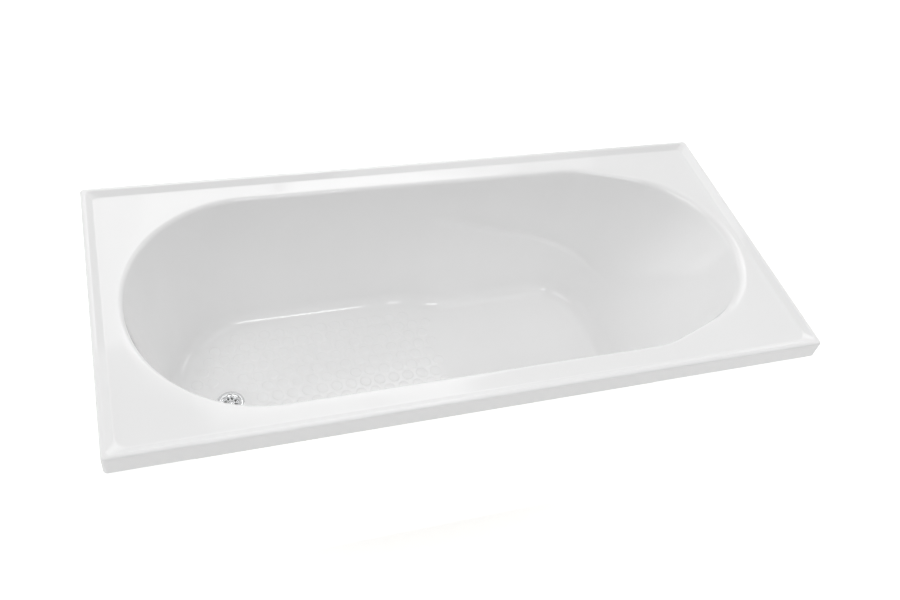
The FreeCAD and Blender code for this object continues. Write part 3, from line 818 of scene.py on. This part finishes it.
def rubber_material():
    m, nt, b = material("seal_rubber")
    v = coords(nt)
    n1 = node(nt, "ShaderNodeTexNoise", Scale=300.0, Detail=3.0, Roughness=0.6)
    nt.links.new(v, n1.inputs["Vector"])
    col = ramp(nt, n1.outputs["Fac"], [(0.35, (0.035, 0.035, 0.037)), (0.65, (0.06, 0.06, 0.062))])
    nt.links.new(col, b.inputs["Base Color"])
    b.inputs["Roughness"].default_value = 0.62
    bump = node(nt, "ShaderNodeBump", Strength=0.2, Distance=0.0002)
    nt.links.new(n1.outputs["Fac"], bump.inputs["Height"])
    nt.links.new(bump.outputs["Normal"], b.inputs["Normal"])
    return m


def plastic_material(name, colour, rough_low, rough_high):
    m, nt, b = material(name)
    v = coords(nt)
    n1 = node(nt, "ShaderNodeTexNoise", Scale=420.0, Detail=3.0, Roughness=0.6)
    n2 = node(nt, "ShaderNodeTexNoise", Scale=18.0, Detail=3.0, Roughness=0.5)
    for n in (n1, n2):
        nt.links.new(v, n.inputs["Vector"])
    c = np.array(colour)
    col = ramp(nt, n2.outputs["Fac"], [(0.35, tuple(c * 0.965)), (0.65, tuple(c))])
    nt.links.new(col, b.inputs["Base Color"])
    r = node(nt, "ShaderNodeMapRange")
    r.inputs["To Min"].default_value, r.inputs["To Max"].default_value = rough_low, rough_high
    nt.links.new(n1.outputs["Fac"], r.inputs["Value"])
    nt.links.new(r.outputs["Result"], b.inputs["Roughness"])
    bump = node(nt, "ShaderNodeBump", Strength=0.12, Distance=0.0002)
    nt.links.new(n1.outputs["Fac"], bump.inputs["Height"])
    nt.links.new(bump.outputs["Normal"], b.inputs["Normal"])
    return m


def chipboard_material():
    m, nt, b = material("chipboard")
    v = coords(nt)
    chips = node(nt, "ShaderNodeTexVoronoi", Scale=210.0, Randomness=1.0)
    squeeze = coords(nt, scale=(1, 1, 2.2))
    nt.links.new(squeeze, chips.inputs["Vector"])
    fine = node(nt, "ShaderNodeTexNoise", Scale=500.0, Detail=3.0, Roughness=0.7)
    nt.links.new(v, fine.inputs["Vector"])
    sep = nt.nodes.new("ShaderNodeSeparateColor")
    nt.links.new(chips.outputs["Color"], sep.inputs["Color"])
    col = ramp(nt, sep.outputs["Red"], [(0.0, (0.40, 0.28, 0.16)), (0.35, (0.56, 0.42, 0.26)), (0.7, (0.66, 0.52, 0.34)), (1.0, (0.74, 0.62, 0.44))])
    mix = node(nt, "ShaderNodeMix", data_type="RGBA", blend_type="MULTIPLY")
    mix.inputs["Factor"].default_value = 0.35
    nt.links.new(col, mix.inputs["A"])
    nt.links.new(fine.outputs["Color"], mix.inputs["B"])
    nt.links.new(mix.outputs["Result"], b.inputs["Base Color"])
    b.inputs["Roughness"].default_value = 0.78
    bump = node(nt, "ShaderNodeBump", Strength=0.4, Distance=0.0006)
    nt.links.new(sep.outputs["Green"], bump.inputs["Height"])
    nt.links.new(bump.outputs["Normal"], b.inputs["Normal"])
    return m


def timber_material(name, along):
    m, nt, b = material(name)
    sc = (2.0, 34.0, 34.0) if along == "x" else (34.0, 2.0, 34.0)
    v = coords(nt, scale=sc)
    grain = node(nt, "ShaderNodeTexNoise", Scale=2.4, Detail=6.0, Roughness=0.62, Distortion=0.6)
    nt.links.new(v, grain.inputs["Vector"])
    col = ramp(nt, grain.outputs["Fac"], [(0.30, (0.50, 0.34, 0.18)), (0.48, (0.68, 0.50, 0.30)), (0.62, (0.76, 0.60, 0.39)), (0.78, (0.80, 0.66, 0.46))])
    nt.links.new(col, b.inputs["Base Color"])
    b.inputs["Roughness"].default_value = 0.66
    bump = node(nt, "ShaderNodeBump", Strength=0.35, Distance=0.0006)
    nt.links.new(grain.outputs["Fac"], bump.inputs["Height"])
    nt.links.new(bump.outputs["Normal"], b.inputs["Normal"])
    return m


M = {
    "acrylic": acrylic_material(),
    "glassfibre": glassfibre_material(),
    "zinc_steel": zinc_material(),
    "chrome": chrome_material(),
    "seal_rubber": rubber_material(),
    "waste_plastic": plastic_material("waste_polypropylene", (0.74, 0.74, 0.72), 0.30, 0.48),
    "foot_plastic": plastic_material("foot_nylon", (0.70, 0.70, 0.68), 0.34, 0.55),
    "chipboard": chipboard_material(),
}
timber_x, timber_y = timber_material("softwood_long", "x"), timber_material("softwood_cross", "y")


def dress(ob, mat, body=None, replaces=()):
    ob.data.materials.clear()
    ob.data.materials.append(mat)
    if body:
        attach(ob, body)
    if replaces:
        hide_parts(*replaces)


dress(bath, M["acrylic"], "tub", ["bath_shell"])
dress(backing, M["glassfibre"], "tub", ["glassfibre_backing"])
dress(flange, M["chrome"], "tub", ["waste_flange"])
dress(grate_ob, M["chrome"], "tub", ["waste_flange"])
dress(screw, M["chrome"], "tub", ["waste_screw"])
for c, ob in rods.items():
    dress(ob, M["zinc_steel"], "rod_" + c, ["foot_rod_" + c])
slots = {s["node"]: s["material_slot"] for s in frame["record"]["subparts"]}
for name, ob in frame["nodes"].items():
    s = slots[name]
    if s == "timber":
        mat = timber_y if name == "waste_end_batten" else timber_x
    else:
        mat = M[s]
    ob.data.materials.clear()
    ob.data.materials.append(mat)

# ------------------------------------------------------------------ camera, floor, light
RISE = 0.540
scene = bpy.context.scene
cam_data = bpy.data.cameras.new("camera")
cam = bpy.data.objects.new("camera", cam_data)
scene.collection.objects.link(cam)
scene.camera = cam
cam_data.sensor_width = 36.0
cam_data.lens = 37.546
cam_data.clip_start, cam_data.clip_end = 0.05, 60
right = Vector((0.94505, -0.28828, 0.15417)).normalized()
up = Vector((0.12044, 0.74544, 0.65560))
up = (up - right * up.dot(right)).normalized()
back = right.cross(up)
cam.matrix_world = Matrix((
    (right.x, up.x, back.x, -0.70298),
    (right.y, up.y, back.y, -1.40526),
    (right.z, up.z, back.z, 1.60637 + RISE),
    (0, 0, 0, 1),
))


def plane(name, x0, y0, x1, y1, z):
    me = bpy.data.meshes.new(name)
    me.from_pydata([(x0, y0, z), (x1, y0, z), (x1, y1, z), (x0, y1, z)], [], [(0, 1, 2, 3)])
    ob = bpy.data.objects.new(name, me)
    scene.collection.objects.link(ob)
    return ob


def stage_material(name):
    m, nt, b = material(name)
    b.inputs["Base Color"].default_value = (0.90, 0.90, 0.90, 1)
    b.inputs["Roughness"].default_value = 0.9
    b.inputs["Specular IOR Level"].default_value = 0.1
    b.inputs["Emission Color"].default_value = (1, 1, 1, 1)
    b.inputs["Emission Strength"].default_value = 0.25
    if name == "stage_white":       # the floor looks white, but throws less light up at the skirt
        path, r = node(nt, "ShaderNodeLightPath"), node(nt, "ShaderNodeMapRange")
        r.inputs["To Min"].default_value, r.inputs["To Max"].default_value = 0.16, 0.45
        nt.links.new(path.outputs["Is Camera Ray"], r.inputs["Value"])
        nt.links.new(r.outputs["Result"], b.inputs["Emission Strength"])
    return m


ground = plane("stage_floor", -14, -14, 14, 14, 0.0)
ground.data.materials.append(stage_material("stage_white"))
card = plane("stage_card", -0.86, -0.62, 0.84, -0.377, 0.4915)
EYE = (-0.70298, -1.40526, 1.60637 + RISE)      # the card hangs between this point and the legs
for v, (x, y) in zip(card.data.vertices, ((-0.80, -0.62), (0.34, -0.62), (0.80, -0.38), (-0.824, -0.38))):
    v.co = [e + 0.3 * (c - e) for e, c in zip(EYE, (x, y, 0.492))]
card.data.materials.append(stage_material("stage_card_white"))

world = bpy.data.worlds.new("studio")
scene.world = world
world.use_nodes = True
wt = world.node_tree
wt.nodes.clear()
wo = wt.nodes.new("ShaderNodeOutputWorld")
bg = wt.nodes.new("ShaderNodeBackground")
bg.inputs["Color"].default_value = (1.0, 1.0, 1.0, 1)
bg.inputs["Strength"].default_value = 0.352
sky = wt.nodes.new("ShaderNodeBackground")      # what stands behind the tub in the picture
sky.inputs["Color"].default_value = (1.0, 1.0, 1.0, 1)
sky.inputs["Strength"].default_value = 1.0
seen = wt.nodes.new("ShaderNodeLightPath")
pick = wt.nodes.new("ShaderNodeMixShader")
wt.links.new(seen.outputs["Is Camera Ray"], pick.inputs["Fac"])
wt.links.new(bg.outputs["Background"], pick.inputs[1])
wt.links.new(sky.outputs["Background"], pick.inputs[2])
wt.links.new(pick.outputs["Shader"], wo.inputs["Surface"])


def softbox(name, corners4, strength, colour=(1, 1, 1)):
    """A rectangular area light given by its centre, its two half axes and a point it faces."""
    centre, u, v, face = (Vector(p) for p in corners4)
    data = bpy.data.lights.new(name, "AREA")
    data.shape = "RECTANGLE"
    data.size, data.size_y = 2 * u.length, 2 * v.length
    area = data.size * data.size_y
    data.energy = strength * math.pi * area      # radiance 'strength' seen head on
    data.color = colour
    ob = bpy.data.objects.new(name, data)
    scene.collection.objects.link(ob)
    ux, vy = u.normalized(), v.normalized()
    n = ux.cross(vy)
    if n.dot(face - centre) > 0:
        vy = -vy
        n = -n
    ob.matrix_world = Matrix((
        (ux.x, vy.x, n.x, centre.x), (ux.y, vy.y, n.y, centre.y), (ux.z, vy.z, n.z, centre.z), (0, 0, 0, 1),
    ))
    return ob


# Softboxes far off round the tub: bearing from the back (+y) towards the head (+x), height above the floor, radiance.
DISTANCE = 25.0
BOXES = [
    (-10, 30, 40.0, 51.25, 1.50),
    (0, 25, 11.7, 55.0, 0.57),
    (10, 30, 28.75, 55.0, 0.62),
    (-15, 35, 25.0, 40.0, 0.64),
    (-25, -15, 25.0, 55.0, 1.46),
    (0, 70, 51.25, 75.0, 0.60),
    (2, 20, 52.6, 57.2, 0.9),
    (20, 31, 51.25, 55.4, 0.6),
    (60, 90, 25.0, 40.0, 2.40),
    (45, 65, 5.0, 32.5, 1.08),
    (70, 140, 59.0, 75.0, 0.98),
    (-80, -62, 3.0, 42.0, 0.92),
    (-62, -45, 0.0, 43.75, 1.12),
    (-45, -28, 0.0, 40.0, 0.45),
    (-95, -80, 4.0, 32.0, 0.60),
    (-112, -95, 5.0, 25.0, 0.30),
    (-140, -70, 55.0, 75.0, 2.45),
    (150, 160, 32.5, 51.25, 1.60),
    (160, 180, 48.0, 60.0, 7.2),
]
for k, (az0, az1, el0, el1, strength) in enumerate(BOXES):
    parts = max(1, math.ceil((az1 - az0) / 36))
    el = math.radians((el0 + el1) / 2)
    for j in range(parts):
        az = math.radians(az0 + (az1 - az0) * (j + 0.5) / parts)
        out = Vector((math.sin(az) * math.cos(el), math.cos(az) * math.cos(el), math.sin(el)))
        across = Vector((math.cos(az), -math.sin(az), 0.0))
        up_ = Vector((-math.sin(az) * math.sin(el), -math.cos(az) * math.sin(el), math.cos(el)))
        half_w = DISTANCE * math.tan(math.radians((az1 - az0) / parts / 2)) * math.cos(el)
        half_h = DISTANCE * math.tan(math.radians((el1 - el0) / 2))
        lamp = softbox("softbox_%d_%d" % (k + 1, j + 1), (out * DISTANCE + Vector((0, 0, RISE)), across * half_w, up_ * half_h, (0, 0, RISE)), strength)
        lamp.visible_camera = False

scene.view_settings.view_transform = "Standard"
scene.view_settings.look = "None"
scene.view_settings.exposure = 0.0
scene.view_settings.gamma = 1.0
